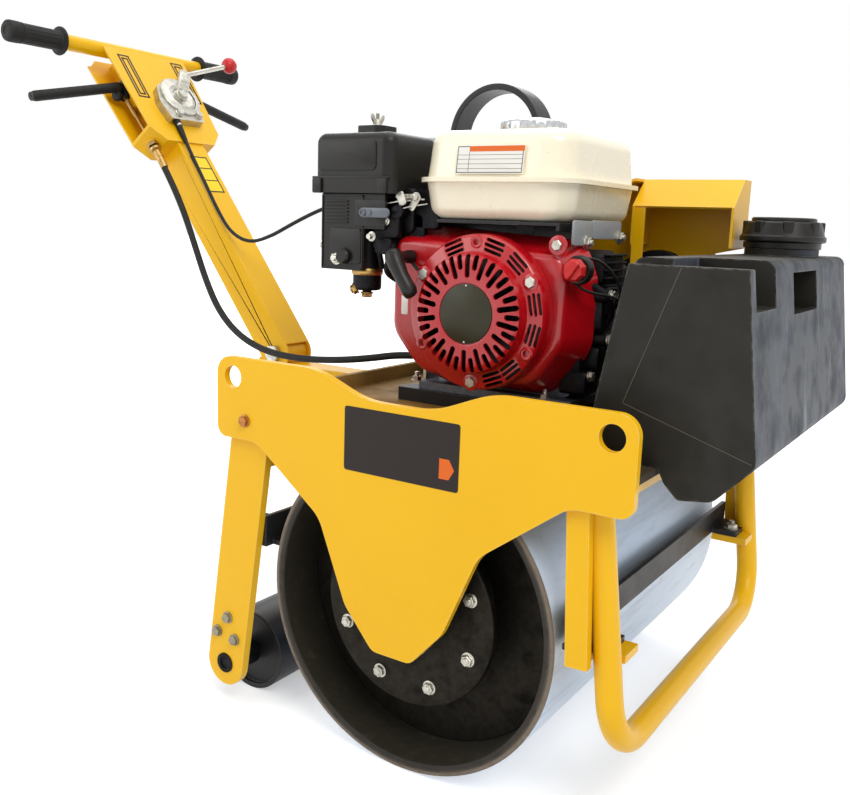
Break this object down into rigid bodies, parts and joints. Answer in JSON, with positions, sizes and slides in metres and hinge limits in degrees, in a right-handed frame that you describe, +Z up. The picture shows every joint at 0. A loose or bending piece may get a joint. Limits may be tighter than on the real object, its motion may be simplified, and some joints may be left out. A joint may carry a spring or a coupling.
{
  "type": "road roller",
  "caption": "Walk-behind vibratory road roller with a wide steel drum, rear support roller, petrol engine, front water tank and folding handle.",
  "frame": {"origin": "on the floor, under the middle of the machine's bounding box (cables left out)", "axes": "+X forward along travel, towards the water tank; +Y the machine's left; +Z up"},
  "size_m": [1.0504, 0.536, 0.8293],
  "materials": {
    "yellow_paint": "satin",
    "drum_steel": "worn, satin",
    "hub_steel": "satin",
    "black_paint": "satin",
    "red_paint": "gloss",
    "cream_paint": "gloss",
    "chrome": "polished",
    "cast_alloy": "rough cast",
    "zinc_steel": "satin",
    "grey_paint": "satin",
    "black_plastic": "matt",
    "tank_plastic": "matt",
    "red_plastic": "satin",
    "rubber": "matt",
    "cast_iron": "matt"
  },
  "bodies": {
    "frame": {"stub_axles": "zinc_steel", "side_plate_right": "yellow_paint", "side_plate_left": "yellow_paint", "deck": "yellow_paint", "crossmembers": "yellow_paint", "support_legs": "yellow_paint", "roller_axle": "zinc_steel", "scraper_straps": "yellow_paint", "front_scraper": "black_paint", "rear_scraper": "black_paint", "front_bumper": "yellow_paint", "engine_rails": "black_paint", "engine_block": "cast_alloy", "cylinder": "cast_alloy", "fan_shroud": "red_paint", "recoil_starter": "red_paint", "starter_grip": "black_plastic", "fuel_tank": "cream_paint", "fuel_cap": "chrome", "tank_bracket": "black_paint", "air_cleaner": "black_plastic", "intake_cover": "black_plastic", "carburetor": "zinc_steel", "muffler": "grey_paint", "engine_switch": "red_plastic", "pulleys": "cast_iron", "drive_belt": "rubber", "pump": "black_paint", "belt_guard": "yellow_paint", "lifting_arch": "black_paint", "water_tank": "tank_plastic", "water_tank_cap": "black_plastic", "sprinkler_pipe": "black_plastic", "handle_foot": "yellow_paint", "cable_stops": "zinc_steel", "drive_cable": "rubber", "throttle_cable": "rubber"},
    "drum": {"drum_shell": "drum_steel", "drum_ends": "hub_steel", "hub_flanges": "hub_steel"},
    "support_roller": {"support_roller": "black_paint"},
    "handle": {"handle_beam": "yellow_paint", "handle_head": "yellow_paint", "handlebar": "yellow_paint", "handle_grips": "rubber", "throttle_lever": "zinc_steel", "pivot_pin": "zinc_steel"},
    "lever": {"travel_lever": "black_paint"}
  },
  "joints": [
    {"name": "drum_spin", "type": "hinge", "parent": "frame", "child": "drum", "pos_m": [0.19585, 0, 0.175], "axis": [0, 1, 0], "continuous": true},
    {"name": "support_roller_spin", "type": "hinge", "parent": "frame", "child": "support_roller", "pos_m": [-0.05015, 0, 0.05], "axis": [0, 1, 0], "continuous": true},
    {"name": "handle_fold", "type": "hinge", "parent": "frame", "child": "handle", "pos_m": [-0.18815, 0, 0.386], "axis": [0, 1, 0], "range_deg": [0, 45], "deforming": ["drive_cable", "throttle_cable"]},
    {"name": "travel_lever_turn", "type": "hinge", "parent": "handle", "child": "lever", "pos_m": [-0.46081, 0, 0.75909], "axis": [0, 1, 0], "range_deg": [-20, 20], "stiffness_Nm_per_rad": 4}
  ]
}
